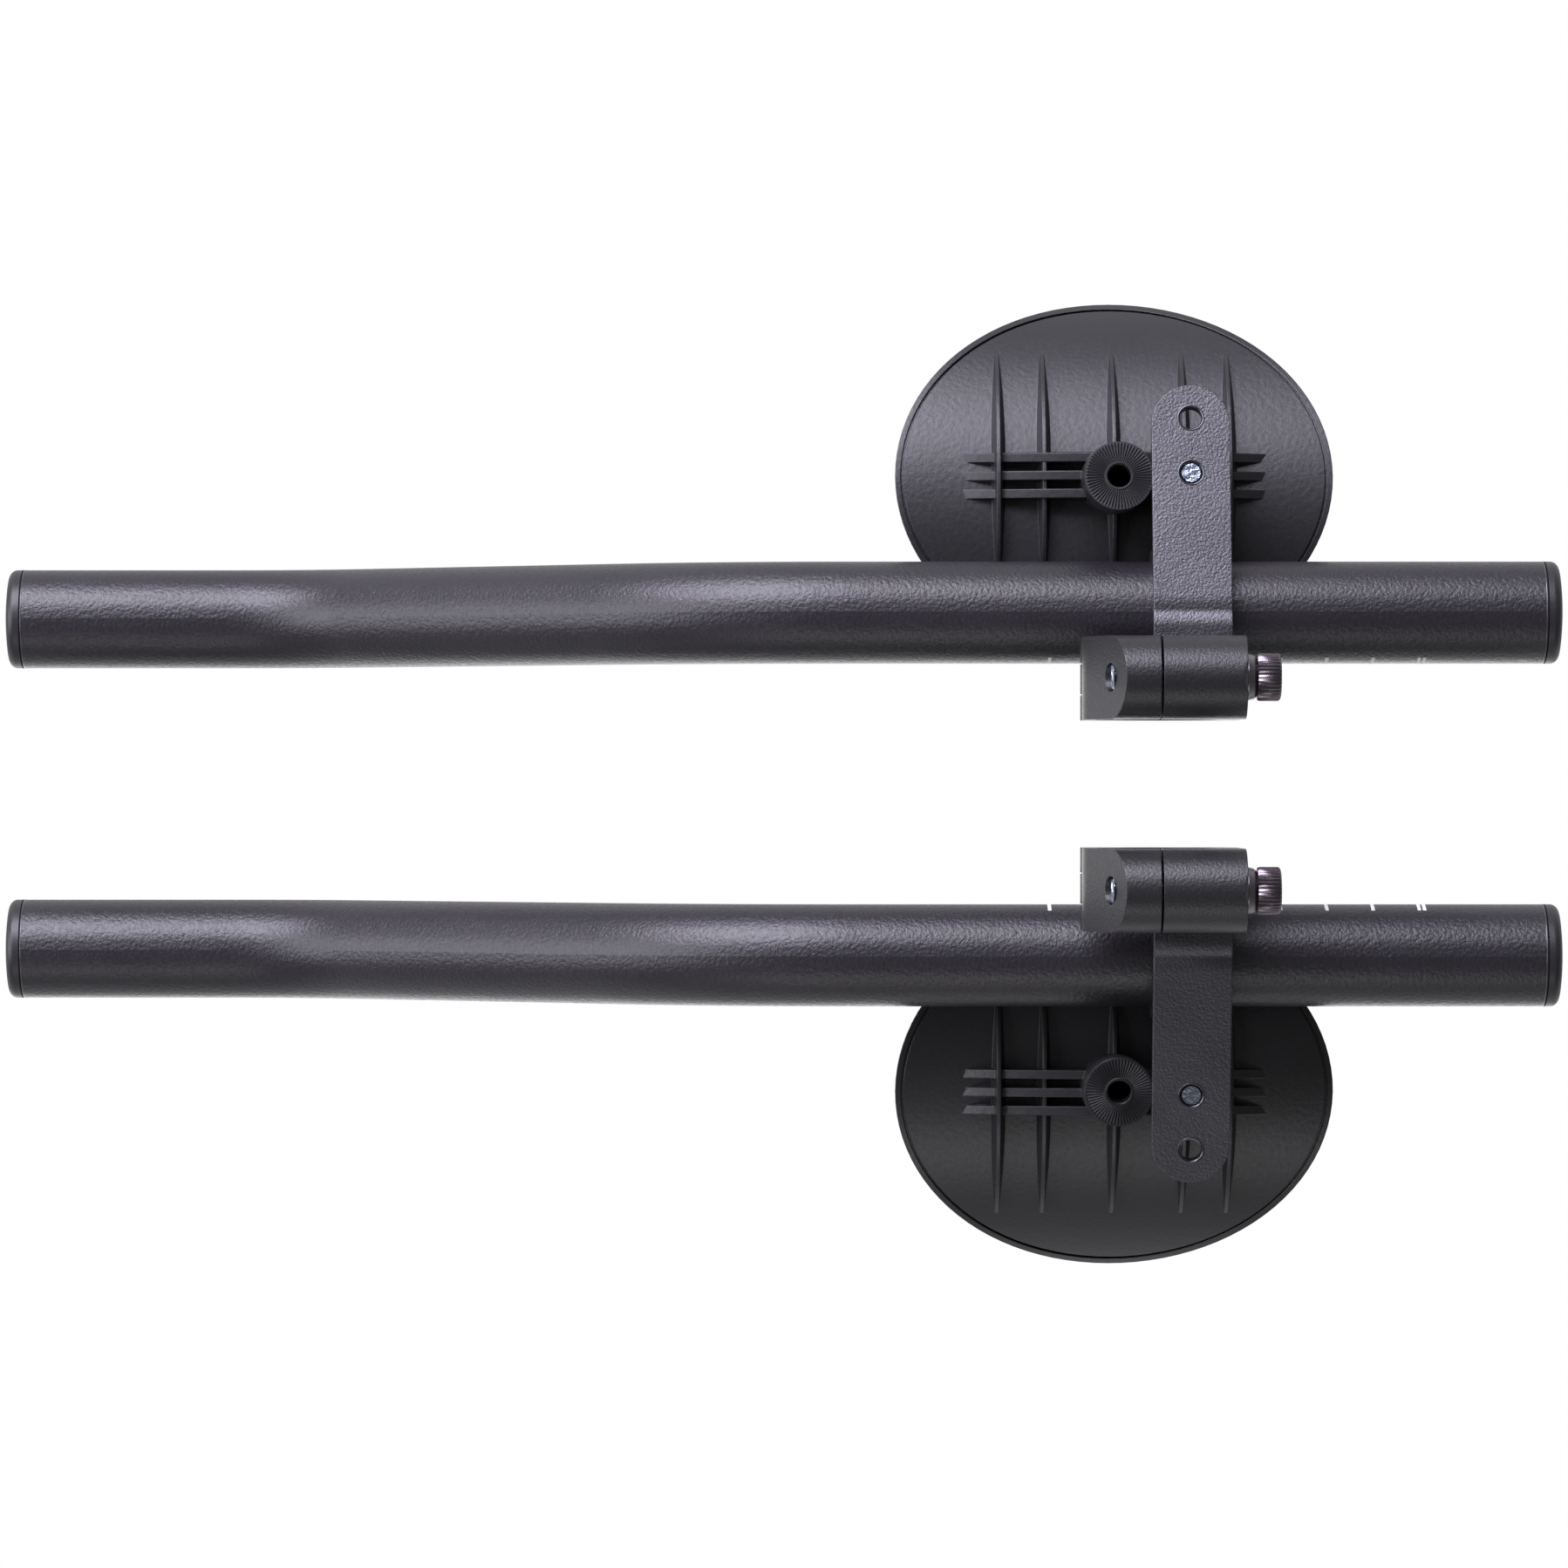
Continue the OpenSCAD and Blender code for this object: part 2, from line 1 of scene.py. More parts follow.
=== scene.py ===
# %% [markdown]
# A pair of time trial extensions, seen from below as in the photograph.
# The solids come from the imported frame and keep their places. This lesson gives them
# their finishes and adds the small things that a solid model leaves out: printed marks,
# threads, knurls, teeth on the bosses, moulding marks and the soft pads.

# %% Load the frame
import json
import math
import bmesh
import bpy
import numpy as np
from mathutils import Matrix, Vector


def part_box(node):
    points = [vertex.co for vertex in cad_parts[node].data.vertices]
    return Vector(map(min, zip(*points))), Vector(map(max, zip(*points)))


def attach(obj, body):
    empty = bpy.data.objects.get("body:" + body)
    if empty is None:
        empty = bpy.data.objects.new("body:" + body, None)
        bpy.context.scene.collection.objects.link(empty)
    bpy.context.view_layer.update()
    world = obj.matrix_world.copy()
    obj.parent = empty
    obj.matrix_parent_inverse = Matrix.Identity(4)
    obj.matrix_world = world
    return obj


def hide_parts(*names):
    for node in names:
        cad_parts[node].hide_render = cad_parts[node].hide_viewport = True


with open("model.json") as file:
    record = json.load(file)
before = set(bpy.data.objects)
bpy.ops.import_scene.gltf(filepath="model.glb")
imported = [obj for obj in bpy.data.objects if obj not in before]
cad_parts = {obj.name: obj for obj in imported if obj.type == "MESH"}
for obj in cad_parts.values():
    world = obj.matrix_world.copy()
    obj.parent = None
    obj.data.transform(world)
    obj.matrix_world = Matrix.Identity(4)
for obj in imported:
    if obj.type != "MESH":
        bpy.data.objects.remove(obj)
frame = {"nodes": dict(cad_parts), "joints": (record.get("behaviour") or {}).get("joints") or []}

MM = 0.001
SIDES = {"left": 1.0, "right": -1.0}
FORWARD = np.array([1.0, 0.0, 0.0])
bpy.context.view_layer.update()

# %% [markdown]
# Every new piece below is a surface worked out as a grid of points. One helper turns a
# grid into a mesh, so that each piece only has to say where its points lie. The right
# half is the left half with Y turned round, and its faces are turned round with it.

# %% Grids to meshes
def full_turn(count):
    """Angles of a whole turn; the last one stops a step short of the first."""
    return np.linspace(0.0, 2 * math.pi, count, endpoint=False)


def grid_faces(rows, columns, closed_rows=False, closed_columns=True):
    """Quads between neighbouring points of a grid: point (i, j) is number i * columns + j."""
    i = np.arange(rows if closed_rows else rows - 1)
    j = np.arange(columns if closed_columns else columns - 1)
    i, j = (a.ravel() for a in np.meshgrid(i, j, indexing="ij"))
    next_i, next_j = (i + 1) % rows, (j + 1) % columns
    return np.stack([i * columns + j, i * columns + next_j,
                     next_i * columns + next_j, next_i * columns + j], axis=1)


def new_mesh(name, points, faces, side=1.0, flip=False, smooth=True):
    """Object from points and quads; side -1 mirrors it in Y and turns its faces round."""
    points = np.array(points, float).reshape(-1, 3) * [1.0, side, 1.0]
    if (side < 0) != flip:
        faces = faces[:, ::-1]
    mesh = bpy.data.meshes.new(name)
    mesh.from_pydata(points.tolist(), [], faces.tolist())
    mesh.polygons.foreach_set("use_smooth", np.full(len(faces), smooth))
    mesh.update()
    made = bpy.data.objects.new(name, mesh)
    bpy.context.scene.collection.objects.link(made)
    return made


def weld(made, distance=1e-6):
    """Closes seams and poles by merging points that lie on each other."""
    work = bmesh.new()
    work.from_mesh(made.data)
    bmesh.ops.remove_doubles(work, verts=work.verts, dist=distance)
    work.to_mesh(made.data)
    work.free()
    return made


def sharpen(made, degrees=35.0):
    """Keeps edges crisp where two faces meet at more than the angle."""
    made.data.set_sharp_from_angle(angle=math.radians(degrees))
    return made


def box_middle(name):
    """Middle of a solid's box, as X, Y and Z."""
    low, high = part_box(name)
    return (low.x + high.x) / 2, (low.y + high.y) / 2, (low.z + high.z) / 2


def dress(made, material, body):
    """Material and carrying body of a new piece."""
    made.data.materials.clear()
    made.data.materials.append(material)
    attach(made, body)
    return made

# %% [markdown]
# The finishes are all black or nearly black, so what tells them apart is how they
# catch the light. Anodised aluminium has a fine tight grain, the moulded cup a softer
# sheen with faint flow marks, the plated bolts a coloured metal shine. Each one is a
# Principled shader whose roughness and bump come from noise on Object coordinates.

# %% Materials
def new_material(name):
    """Empty node material with a Principled shader wired to its output."""
    material = bpy.data.materials.new(name)
    material.use_nodes = True
    nodes, links = material.node_tree.nodes, material.node_tree.links
    return material, nodes, links, nodes["Principled BSDF"]


def add_node(nodes, kind, values=()):
    """New shader node of a kind, with the inputs that are named set to their values."""
    node = nodes.new("ShaderNode" + kind)
    for socket, value in dict(values).items():
        node.inputs[socket].default_value = value
    return node


BUMP_DEPTH = 0.2 * MM
BEVEL_SAMPLES = 6
MOTTLE_SCALE = 60.0


def grained(name, colour, roughness, metallic=0.0, grain=2500.0, bump=0.02, spread=0.06,
            mottling=0.25, specular=0.5, edge=0.0):
    """Finish with a fine grain: one noise moves the roughness and the bump, a wider
    one makes the colour a little uneven. An edge radius rounds corners in the shading."""
    material, nodes, links, shader = new_material(name)
    shader.inputs["Metallic"].default_value = metallic
    shader.inputs["Specular IOR Level"].default_value = specular
    place = add_node(nodes, "TexCoord")

    fine = add_node(nodes, "TexNoise", {"Scale": grain, "Detail": 3.0})
    links.new(place.outputs["Object"], fine.inputs["Vector"])
    rough = add_node(nodes, "MapRange", {"To Min": roughness - spread, "To Max": roughness + spread})
    links.new(fine.outputs["Fac"], rough.inputs["Value"])
    links.new(rough.outputs["Result"], shader.inputs["Roughness"])

    height = add_node(nodes, "Bump", {"Strength": bump, "Distance": BUMP_DEPTH})
    links.new(fine.outputs["Fac"], height.inputs["Height"])
    links.new(height.outputs["Normal"], shader.inputs["Normal"])
    if edge:
        rounded = add_node(nodes, "Bevel", {"Radius": edge})
        rounded.samples = BEVEL_SAMPLES
        links.new(rounded.outputs["Normal"], height.inputs["Normal"])

    wide = add_node(nodes, "TexNoise", {"Scale": MOTTLE_SCALE})
    links.new(place.outputs["Object"], wide.inputs["Vector"])
    blend = nodes.new("ShaderNodeMix")
    blend.data_type = "RGBA"
    dark = [c * (1.0 - mottling) for c in colour]
    light = [c * (1.0 + mottling) for c in colour]
    blend.inputs["A"].default_value = (*dark, 1.0)
    blend.inputs["B"].default_value = (*light, 1.0)
    links.new(wide.outputs["Fac"], blend.inputs["Factor"])
    links.new(blend.outputs["Result"], shader.inputs["Base Color"])
    return material


tube_black = grained("tube_black", (0.0150, 0.0132, 0.0165), 0.38, grain=1300.0, bump=0.75,
                     specular=0.56, spread=0.14)
clamp_black = grained("clamp_black", (0.0085, 0.0085, 0.0094), 0.40, grain=1700.0, bump=0.45,
                      specular=0.62, edge=0.25 * MM)
bracket_black = grained("bracket_black", (0.108, 0.107, 0.115), 0.45, metallic=1.0,
                        grain=1800.0, bump=0.8, edge=0.35 * MM)
cap_black = grained("cap_black", (0.016, 0.016, 0.017), 0.42, grain=900.0, bump=0.05)
boss_black = grained("boss_black", (0.0085, 0.0082, 0.0095), 0.5, grain=900.0, bump=0.2,
                     specular=0.3)
cup_black = grained("cup_black", (0.0110, 0.0107, 0.0122), 0.40, grain=900.0, bump=0.30,
                    specular=0.62, edge=0.3 * MM)
bronze_steel = grained("bronze_steel", (0.150, 0.128, 0.142), 0.27, metallic=1.0, grain=1500.0)
dark_steel = grained("dark_steel", (0.21, 0.20, 0.21), 0.34, metallic=1.0, grain=1500.0)
zinc_steel = grained("zinc_steel", (0.30, 0.35, 0.42), 0.24, metallic=1.0, grain=1100.0, bump=0.9)
plain_steel = grained("plain_steel", (0.42, 0.42, 0.43), 0.32, metallic=1.0, grain=1500.0)
mark_white = grained("mark_white", (0.80, 0.80, 0.78), 0.55, grain=2000.0, mottling=0.04)
print("materials", len(bpy.data.materials))

# %% Finishes of the solids
FINISHES = {
    "front_jaw": clamp_black, "rear_jaw": clamp_black, "hinge_pin": plain_steel,
    "pinch_bolt": bronze_steel, "pinch_washer": dark_steel, "bracket": bracket_black,
    "extension_clamp": clamp_black, "stack_bolt": bronze_steel, "stack_washer": plain_steel,
    "extension_tube": tube_black, "front_cap": cap_black, "rear_cap": cap_black,
    "arm_cup": cup_black, "arm_pad": cup_black, "cup_bolt": zinc_steel, "cup_washer": plain_steel,
}
for side in SIDES:
    for part, material in FINISHES.items():
        solid = frame["nodes"][f"{side}_{part}"]
        solid.data.materials.clear()
        solid.data.materials.append(material)
print("solids dressed", len(FINISHES) * len(SIDES))

# %% [markdown]
# White marks are printed round the inner side of each tube, 10 mm apart, so that both
# extensions can be set to the same length. A mark is a thin band that follows the
# tube's curve a hair above its surface. The last one is double.

# %% Printed marks
MARK_STEP = 10.0 * MM
MARK_WIDTH = 0.75 * MM
MARK_LIFT = 0.03 * MM
MARK_FIRST = 21.6 * MM
MARK_COUNT = 9
MARK_LAST_GAP = 1.15 * MM
MARK_ARC = (math.radians(-28.0), math.radians(40.0))
MARK_POINTS = 25
tube_low, tube_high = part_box("left_extension_tube")
TUBE_R = 11.1 * MM
TUBE_Y = (tube_low.y + tube_high.y) / 2
TUBE_Z = tube_low.z + TUBE_R


def mark(x):
    """Band round the tube's axis, four rows of points: out along one edge, back along
    the other, a hair above the surface and a hair below. The angle goes up from the
    inner side."""
    across = np.array([-0.5, 0.5, 0.5, -0.5]) * MARK_WIDTH
    radius = TUBE_R + np.array([1.0, 1.0, -1.0, -1.0]) * MARK_LIFT
    angle = np.linspace(*MARK_ARC, MARK_POINTS)
    u, a = np.meshgrid(across, angle, indexing="ij")
    r = radius[:, None]
    return np.stack([x + u, TUBE_Y - r * np.cos(a), TUBE_Z + r * np.sin(a)], axis=-1)


mark_places = [MARK_FIRST - k * MARK_STEP for k in range(MARK_COUNT)]
mark_places.append(mark_places[-1] - MARK_LAST_GAP)
mark_grids = np.array([mark(x) for x in mark_places])
one_mark = grid_faces(4, MARK_POINTS, closed_rows=True, closed_columns=False)
mark_faces = np.concatenate([one_mark + k * 4 * MARK_POINTS for k in range(len(mark_grids))])
for side, sign in SIDES.items():
    made = new_mesh(f"{side}_scale_marks", mark_grids, mark_faces, sign, smooth=False)
    dress(made, mark_white, f"{side}_extension")
print("marks on each tube", len(mark_places))

# %% [markdown]
# A cap's head meets the tube's cut end in a fine groove, and the cut end has a
# small bright chamfer. Both are thin bands round the tube's axis. The groove is not cut:
# its band is painted near black as painted shade, the shade that falls inside the groove.

# %% Cap seams
CAP_HEAD = 4.0 * MM
BAND_SINK = 0.02 * MM
BAND_POINTS = 96


def band(x, z, width, lift):
    """Closed band round a tube's axis: its two edges lie in the surface, its middle above."""
    across = np.array([-0.5, -0.3, 0.3, 0.5]) * width
    radius = TUBE_R + np.array([-BAND_SINK, lift, lift, -BAND_SINK])
    u, a = np.meshgrid(across, full_turn(BAND_POINTS), indexing="ij")
    r = radius[:, None]
    return np.stack([x + u, TUBE_Y + r * np.cos(a), z + r * np.sin(a)], axis=-1)


# Painted shade: a near-black band with almost no reflection stands for the shade inside the seam between
# cap and tube.
painted_groove_shade = grained("painted_groove_shade", (0.004, 0.004, 0.004), 0.7, specular=0.1)
cut_edge = grained("cut_edge", (0.12, 0.12, 0.13), 0.3, metallic=0.8)
SEAMS = (("groove", 0.22 * MM, 0.44 * MM, 0.015 * MM, painted_groove_shade),
         ("edge", -0.12 * MM, 0.24 * MM, 0.03 * MM, cut_edge))
ENDS = {"front": (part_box("left_front_cap")[1].x - CAP_HEAD, 1.0, box_middle("left_front_cap")[2]),
        "rear": (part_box("left_rear_cap")[0].x + CAP_HEAD, -1.0, TUBE_Z)}
for side, sign in SIDES.items():
    for end, (x, outwards, z) in ENDS.items():
        for name, offset, width, lift, finish in SEAMS:
            points = band(x + outwards * offset, z, width, lift)
            made = new_mesh(f"{side}_{end}_{name}", points, grid_faces(*points.shape[:2]),
                            sign, flip=True)
            dress(made, finish, f"{side}_extension")
print("cap seams", len(ENDS) * len(SEAMS) * len(SIDES))

# %% [markdown]
# The bolts are socket screws. A screw is nearly a turned part: every ring round its
# axis has a radius, and the radius changes a little with the angle where there is a
# thread, a knurl or a six-sided socket. So one grid of rings makes the whole screw.

# %% Screws
def rings(profile, angles):
    """Grid from a list of rings, each a height and a radius that may change with angle."""
    z = np.array([height for height, _ in profile])[:, None] + 0.0 * angles[None, :]
    r = np.stack([np.broadcast_to(radius, angles.shape) for _, radius in profile])
    return np.stack([r * np.cos(angles), r * np.sin(angles), z], axis=-1)


def thread(tip, foot, r, pitch, angles):
    """Rings of a thread from its tip back to its foot: a triangle wave that climbs one
    pitch a turn and fades out over the last half millimetre."""
    depth = 0.55 * pitch
    heights = np.arange(tip, foot, -pitch / 10)
    fade = np.clip((tip - heights) / (0.5 * MM), 0.0, 1.0)
    profile = [(tip, 0.0), (tip, r - depth - 0.2 * MM)]
    for z, f in zip(heights, fade):
        wave = np.abs(((z / pitch - angles / (2 * math.pi)) % 1.0) * 2 - 1)
        profile.append((z, r - depth * (1 - f * (1 - wave))))
    return profile


SCREW_POINTS = 144
KNURLS = 36
KNURL_DEPTH = 0.22 * MM
HEAD_BEVEL = 0.55 * MM


def screw(run, r, head_r, head_h, socket, pitch):
    """Screw along +Z with its seat at zero: a thread, a knurl that is a cosine round the
    head, and a hexagon for the socket, whose radius is flats / 2 / cos(angle to the flat)."""
    angles = full_turn(SCREW_POINTS)
    profile = thread(run, 0.6 * MM, r, pitch, angles)
    profile += [(0.5 * MM, r), (0.0, r), (0.0, head_r - 0.5 * MM)]
    valley = 0.5 - 0.5 * np.cos(angles * KNURLS)
    for z, drop in ((-0.1 * MM, 0.15 * MM), (-HEAD_BEVEL, 0.0), (-head_h + HEAD_BEVEL, 0.0)):
        profile.append((z, head_r - drop - KNURL_DEPTH * valley))
    profile.append((-head_h + 0.15 * MM, head_r - 0.3 * MM - 0.05 * MM * valley))
    profile.append((-head_h, head_r - 0.65 * MM))
    hexagon = socket / 2 / np.cos((angles % (math.pi / 3)) - math.pi / 6)
    profile += [(-head_h, hexagon * 1.06), (-head_h + 0.25 * MM, hexagon),
                (-head_h * 0.42, hexagon), (-head_h * 0.36, 0.0)]
    return rings(profile, angles)


def placed(points, origin, axis):
    """Turns +Z to the axis, which lies in the XZ or YZ plane, and moves it to the origin."""
    z = np.array(axis, float)
    x = np.cross([0.0, 1.0, 0.0], z) if abs(z[1]) < 0.9 else FORWARD
    x = x / np.linalg.norm(x)
    y = np.cross(z, x)
    return points @ np.stack([x, y, z]) + np.array(origin)


def add_turned(name, points, side, sign, finish):
    """Welded and sharpened piece from a grid of rings, carried by the clamp stack."""
    made = new_mesh(f"{side}_{name}", points, grid_faces(*points.shape[:2]), sign)
    sharpen(weld(made), 40.0)
    return dress(made, finish, "clamp_stack")


M6 = {"r": 2.98 * MM, "head_r": 5.0 * MM, "head_h": 5.0 * MM, "socket": 5.0 * MM, "pitch": 1.0 * MM}
M5 = {"r": 2.48 * MM, "head_r": 4.25 * MM, "head_h": 5.0 * MM, "socket": 4.0 * MM, "pitch": 0.8 * MM}
pinch_low, pinch_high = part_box("left_pinch_bolt")
_, pinch_y, pinch_z = box_middle("left_pinch_bolt")
pinch_seat = pinch_low.x + M6["head_h"]
pinch_points = placed(screw(pinch_high.x - pinch_seat, **M6), (pinch_seat, pinch_y, pinch_z), FORWARD)

# The bright end of the thread that shows in the front jaw's nose.
END_RUN, END_BACK, END_R, END_POINTS = 4.0 * MM, 2.9 * MM, 2.99 * MM, 96
end_angles = full_turn(END_POINTS)
end_profile = thread(END_RUN, 0.0, END_R, M6["pitch"], end_angles) + [(0.0, 0.0)]
pinch_end = placed(rings(end_profile, end_angles), (pinch_high.x - END_BACK, pinch_y, pinch_z), FORWARD)

stack_low, stack_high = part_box("left_stack_bolt")
stack_x, stack_y, _ = box_middle("left_stack_bolt")
stack_seat = stack_high.z - M5["head_h"]
stack_points = placed(screw(stack_seat - stack_low.z, **M5), (stack_x, stack_y, stack_seat),
                      (0.0, 0.0, -1.0))
print("screw points", pinch_points.shape[:2], stack_points.shape[:2])

# %% [markdown]
# The bracket leans outwards, and the swivel's axis stands square on it. Points on it are
# given as steps forward, outwards and up from the place where the boss sits.

# %% The frame on the bracket
INCLINE = math.radians(12.5)
swivel = next(j for j in frame["joints"] if j["name"] == "left_armrest_swivel")
SEAT_POINT = np.array(swivel["pos_m"])
SEAT_UP = np.array([0.0, -math.sin(INCLINE), math.cos(INCLINE)])
SEAT_OUT = np.array([0.0, math.cos(INCLINE), math.sin(INCLINE)])
CUP_SEAT = 4.5 * MM
PLATE_T = 3.0 * MM
CUP_BOLT_SHORT = 0.4 * MM


def on_bracket(forward, out, up):
    """Seat point + forward * X + out * outwards along the bracket + up * its normal."""
    return (SEAT_POINT + forward[..., None] * FORWARD + out[..., None] * SEAT_OUT
            + up[..., None] * SEAT_UP)


cup_screw = placed(screw(CUP_SEAT + PLATE_T - CUP_BOLT_SHORT, **M5),
                   SEAT_POINT + CUP_SEAT * SEAT_UP, -SEAT_UP)
SCREWS = {"pinch_bolt": (pinch_points, bronze_steel, "bronze_steel"),
          "stack_bolt": (stack_points, bronze_steel, "bronze_steel"),
          "cup_bolt": (cup_screw, zinc_steel, "zinc_steel")}
for side, sign in SIDES.items():
    for name, (points, finish, slot) in SCREWS.items():
        made = add_turned(f"{name}_detail", points, side, sign, finish)
        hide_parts(f"{side}_{name}")
    add_turned("pinch_bolt_end", pinch_end, side, sign, zinc_steel)
print("seat of the boss, mm", np.round(SEAT_POINT / MM, 2))

# %% [markdown]
# The face of each boss on the cup is cut into fine radial teeth, which bite on the
# bracket and stop the cup from turning. The teeth are a ring whose height follows a
# triangle wave round the boss. The wave fades towards the hole and the edge.

# %% Teeth on the bosses
TEETH = 60
BOSS_R = 7.5 * MM
HOLE_R = 2.6 * MM
BOSS_STEP = 15.4 * MM
TOOTH_H = 0.22 * MM


def toothed_ring():
    """Ring on a boss's end face: radius along one side of the grid, angle along the
    other. The upright boss meets the leaning bracket in an ellipse, longer outwards by
    1 / cos(incline). The height is lift(r) + fade(r) * wave(angle) * tooth height."""
    angles = full_turn(TEETH * 8)
    radii = np.array([HOLE_R, HOLE_R + 0.12 * MM, 3.0 * MM, 3.2 * MM, 3.6 * MM, 6.9 * MM,
                      7.1 * MM, BOSS_R - 0.12 * MM, BOSS_R])
    fade = np.array([0.0, 0.0, 0.0, 0.0, 1.0, 1.0, 0.0, 0.0, 0.0])
    lift = np.array([0.05, -0.26, -0.26, -0.12, -0.12, -0.12, -0.12, -0.10, 0.05]) * MM
    wave = np.abs((angles * TEETH / (2 * math.pi)) % 1.0 * 2 - 1) - 0.5
    r, a = np.meshgrid(radii, angles, indexing="ij")
    up = lift[:, None] + fade[:, None] * wave[None, :] * TOOTH_H
    return on_bracket(r * np.cos(a) + BOSS_STEP, r * np.sin(a) / SEAT_OUT[1], up)


teeth_points = toothed_ring()
for side, sign in SIDES.items():
    ring = new_mesh(f"{side}_boss_teeth", teeth_points, grid_faces(*teeth_points.shape[:2]),
                    sign, flip=True)
    dress(sharpen(ring, 30.0), boss_black, f"{side}_armrest")
print("teeth on each boss", TEETH)

# %% [markdown]
# Both holes at the bracket's outer end have a narrow countersink, whose polished slope
# catches the lamp as a bright crescent. It is a ring that leans from the plate's face
# into the hole.

# %% Countersinks
HOLE_STEP = 12.2 * MM
countersunk = grained("countersunk", (0.10, 0.10, 0.11), 0.30, metallic=1.0)


def countersink(run):
    """Ring round a hole in the bracket's lower face, at a run outwards from the first hole."""
    radii = np.array([2.30, 2.52, 2.86, 2.92]) * MM
    depth = np.array([0.50, 0.02, -0.14, 0.03]) * MM
    r, a = np.meshgrid(radii, full_turn(72), indexing="ij")
    return on_bracket(r * np.cos(a), run + r * np.sin(a), depth[:, None] - PLATE_T)


for side, sign in SIDES.items():
    for number, run in enumerate((0.0, HOLE_STEP), start=1):
        points = countersink(run)
        ring = new_mesh(f"{side}_countersink_{number}", points, grid_faces(*points.shape[:2]),
                        sign, flip=True)
        dress(ring, countersunk, "clamp_stack")
print("holes in each bracket", number)

# %% [markdown]
# The pad is foam with a cloth face, cut to the cup's outline. It starts as a thin
# closed form laid in the trough, and a short cloth simulation with air inside it
# rounds its edges and swells it the way a filled pad swells.

# %% Pad cloth
WEAVE_SCALE = 420.0
pad_cloth, nodes, links, shader = new_material("pad_black")
shader.inputs["Base Color"].default_value = (0.016, 0.016, 0.018, 1.0)
shader.inputs["Roughness"].default_value = 0.85
shader.inputs["Sheen Weight"].default_value = 0.25
place = add_node(nodes, "TexCoord")
both = add_node(nodes, "Math")
both.operation = "MULTIPLY"
for number, direction in enumerate("XY"):
    strand = add_node(nodes, "TexWave", {"Scale": WEAVE_SCALE})
    strand.bands_direction = direction
    links.new(place.outputs["Object"], strand.inputs["Vector"])
    links.new(strand.outputs["Fac"], both.inputs[number])
weave = add_node(nodes, "Bump", {"Strength": 0.5, "Distance": BUMP_DEPTH})
links.new(both.outputs["Value"], weave.inputs["Height"])
links.new(weave.outputs["Normal"], shader.inputs["Normal"])

# %% Pad form
pad_low, pad_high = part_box("left_arm_pad")
CUP_X, CUP_Y, _ = box_middle("left_arm_pad")
CUP_R = 62.0 * MM
CUP_T = 2.5 * MM
CUP_LOW_Y = 55.0 * MM
PAD_T = 5.0 * MM
PAD_INSET = 1.5 * MM
PAD_GAP = 0.1 * MM
PAD_LIFT = 0.45 * MM
PAD_HELD = 0.6 * MM
PAD_POINTS = 96
PAD_RINGS = 22
CUP_AXIS_Z = pad_low.z - PAD_GAP - CUP_T + CUP_R


def trough(y, lift):
    """Height over the cup's underside: a circle across the cup, moved in by the lift."""
    return CUP_AXIS_Z - np.sqrt((CUP_R - lift) ** 2 - (y - CUP_LOW_Y) ** 2)


def pad_form():
    """Rings from the middle of the top face over the edge to the middle of the lower
    face: a share of the ellipse outwards, and a thickness that falls to nothing at the rim."""
    a = (pad_high.x - pad_low.x) / 2 - PAD_INSET
    b = (pad_high.y - pad_low.y) / 2 - PAD_INSET
    angles = full_turn(PAD_POINTS)
    share = np.sin(np.linspace(0.0, math.pi / 2, PAD_RINGS))
    top = [(s, PAD_T * (0.35 + 0.5 * math.sqrt(max(0.0, 1 - s ** 6)))) for s in share]
    low = [(s, PAD_LIFT) for s in share[::-1]]
    grid = []
    for s, thick in top + low:
        x = CUP_X + a * s * np.cos(angles)
        y = CUP_Y + b * s * np.sin(angles)
        grid.append(np.stack([x, y, trough(y, CUP_T + thick)], axis=-1))
    return np.array(grid)


CLOTH_FRAMES = 20
AIR_PRESSURE = 4.0
SWELL_CAP = 1.6 * MM


def swell(pad, is_low):
    """Cloth with air inside it for some frames; the lower face is held, and no point
    moves more than the cap. Returns how far the cloth alone went."""
    start = np.zeros(len(pad.data.vertices) * 3)
    pad.data.vertices.foreach_get("co", start)
    start = start.reshape(-1, 3)
    held = pad.vertex_groups.new(name="held")
    held.add(np.nonzero(is_low(start))[0].tolist(), 1.0, "REPLACE")
    cloth = pad.modifiers.new("Cloth", "CLOTH")
    cloth.settings.use_pressure = True
    cloth.settings.uniform_pressure_force = AIR_PRESSURE
    cloth.settings.vertex_group_mass = "held"
    cloth.settings.effector_weights.gravity = 0.0
    scene = bpy.context.scene
    for step in range(1, CLOTH_FRAMES + 1):
        scene.frame_set(step)
    view = pad.evaluated_get(bpy.context.evaluated_depsgraph_get())
    end = np.zeros(len(start) * 3)
    view.data.vertices.foreach_get("co", end)
    end = end.reshape(-1, 3)
    pad.modifiers.remove(cloth)
    scene.frame_set(1)
    move = end - start
    far = np.linalg.norm(move, axis=1, keepdims=True)
    move = move * np.minimum(1.0, SWELL_CAP / np.maximum(far, 1e-9))
    pad.data.vertices.foreach_set("co", (start + move).ravel())
    pad.data.update()
    return float(far.max())


for side, sign in SIDES.items():
    grid = pad_form()
    pad = new_mesh(f"{side}_pad_cushion", grid, grid_faces(*grid.shape[:2]), sign, flip=True)
    weld(pad)
    moved = swell(pad, lambda p: p[:, 2] < trough(np.abs(p[:, 1]), CUP_T + PAD_HELD))
    print(side, "pad moved by up to mm", round(moved / MM, 2))
    finer = pad.modifiers.new("Finer", "SUBSURF")
    finer.levels = finer.render_levels = 1
    dress(pad, pad_cloth, f"{side}_armrest")
    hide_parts(f"{side}_arm_pad")
print("points in each pad's form", grid.shape[0] * grid.shape[1])

# %% [markdown]
# The camera looks straight up at the underside, as the photograph does, through a long
# lens from a metre and a half away. Its place comes from the photograph: the printed
# marks give the scale, and the picture's middle lies ahead of the clamps.

